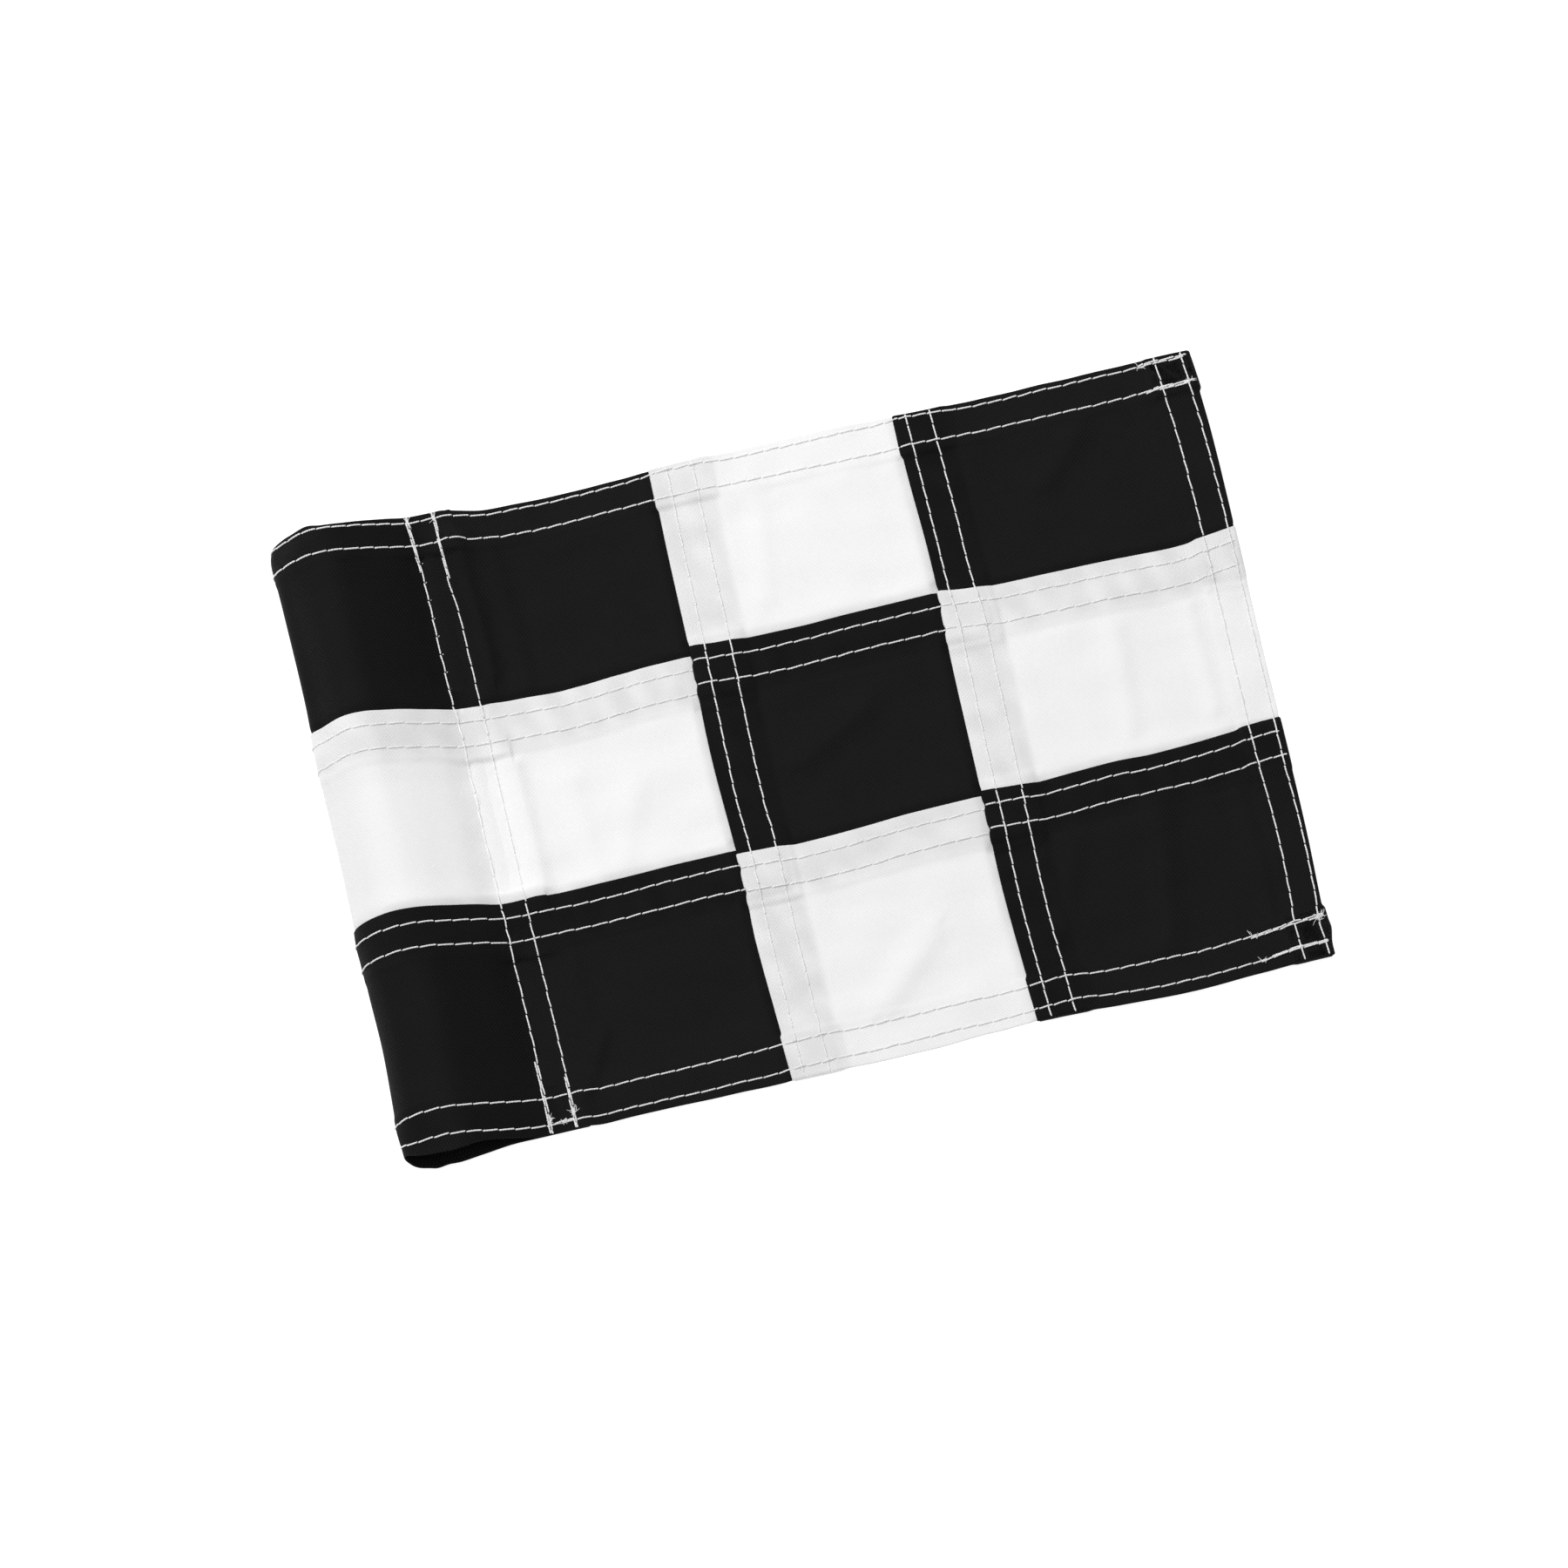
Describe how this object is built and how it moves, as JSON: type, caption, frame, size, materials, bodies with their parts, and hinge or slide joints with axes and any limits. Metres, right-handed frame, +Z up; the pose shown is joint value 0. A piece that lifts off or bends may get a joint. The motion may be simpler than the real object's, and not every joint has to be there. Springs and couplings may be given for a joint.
{
  "type": "golf flag",
  "caption": "Small sewn checkered nylon golf flag for a practice-green flagstick, lying flat, with hemmed edges and an open pole sleeve.",
  "frame": {"origin": "on the table below the middle of the flag, at the bottom centre of its bounding box", "axes": "+X from the sleeve fold to the fly edge, +Y along the sleeve from the flag's bottom edge to its top edge, +Z up out of the flag's front face"},
  "size_m": [0.2174, 0.1542, 0.0145],
  "materials": {
    "nylon_black": "matt woven nylon, dyed black, with a faint sheen",
    "nylon_white": "matt woven nylon, bleached white, slightly translucent",
    "thread_white": "two-ply spun sewing thread, white, soft satin"
  },
  "bodies": {
    "root": {"bottom_centre_panel_white": "nylon_white", "bottom_fly_panel_black": "nylon_black", "bottom_hem_row_1_bobbin_thread": "thread_white", "bottom_hem_row_1_needle_thread": "thread_white", "bottom_hem_row_2_bobbin_thread": "thread_white", "bottom_hem_row_2_needle_thread": "thread_white", "bottom_hoist_panel_black": "nylon_black", "centre_fly_seam_row_1_bobbin_thread": "thread_white", "centre_fly_seam_row_1_needle_thread": "thread_white", "centre_fly_seam_row_2_bobbin_thread": "thread_white", "centre_fly_seam_row_2_needle_thread": "thread_white", "centre_lower_seam_row_1_bobbin_thread": "thread_white", "centre_lower_seam_row_1_needle_thread": "thread_white", "centre_lower_seam_row_2_bobbin_thread": "thread_white", "centre_lower_seam_row_2_needle_thread": "thread_white", "centre_upper_seam_row_1_bobbin_thread": "thread_white", "centre_upper_seam_row_1_needle_thread": "thread_white", "centre_upper_seam_row_2_bobbin_thread": "thread_white", "centre_upper_seam_row_2_needle_thread": "thread_white", "fly_hem_row_1_bobbin_thread": "thread_white", "fly_hem_row_1_needle_thread": "thread_white", "fly_hem_row_2_bobbin_thread": "thread_white", "fly_hem_row_2_needle_thread": "thread_white", "fly_lower_seam_row_1_bobbin_thread": "thread_white", "fly_lower_seam_row_1_needle_thread": "thread_white", "fly_lower_seam_row_2_bobbin_thread": "thread_white", "fly_lower_seam_row_2_needle_thread": "thread_white", "fly_upper_seam_row_1_bobbin_thread": "thread_white", "fly_upper_seam_row_1_needle_thread": "thread_white", "fly_upper_seam_row_2_bobbin_thread": "thread_white", "fly_upper_seam_row_2_needle_thread": "thread_white", "hoist_centre_seam_row_1_bobbin_thread": "thread_white", "hoist_centre_seam_row_1_needle_thread": "thread_white", "hoist_centre_seam_row_2_bobbin_thread": "thread_white", "hoist_centre_seam_row_2_needle_thread": "thread_white", "hoist_lower_seam_row_1_bobbin_thread": "thread_white", "hoist_lower_seam_row_1_needle_thread": "thread_white", "hoist_lower_seam_row_2_bobbin_thread": "thread_white", "hoist_lower_seam_row_2_needle_thread": "thread_white", "hoist_upper_seam_row_1_bobbin_thread": "thread_white", "hoist_upper_seam_row_1_needle_thread": "thread_white", "hoist_upper_seam_row_2_bobbin_thread": "thread_white", "hoist_upper_seam_row_2_needle_thread": "thread_white", "middle_centre_panel_black": "nylon_black", "middle_fly_panel_white": "nylon_white", "middle_hoist_panel_white": "nylon_white", "sleeve_seam_row_1_bobbin_thread": "thread_white", "sleeve_seam_row_1_needle_thread": "thread_white", "sleeve_seam_row_2_bobbin_thread": "thread_white", "sleeve_seam_row_2_needle_thread": "thread_white", "top_centre_panel_white": "nylon_white", "top_fly_panel_black": "nylon_black", "top_hem_row_1_bobbin_thread": "thread_white", "top_hem_row_1_needle_thread": "thread_white", "top_hem_row_2_bobbin_thread": "thread_white", "top_hem_row_2_needle_thread": "thread_white", "top_hoist_panel_black": "nylon_black"}
  },
  "joints": []
}
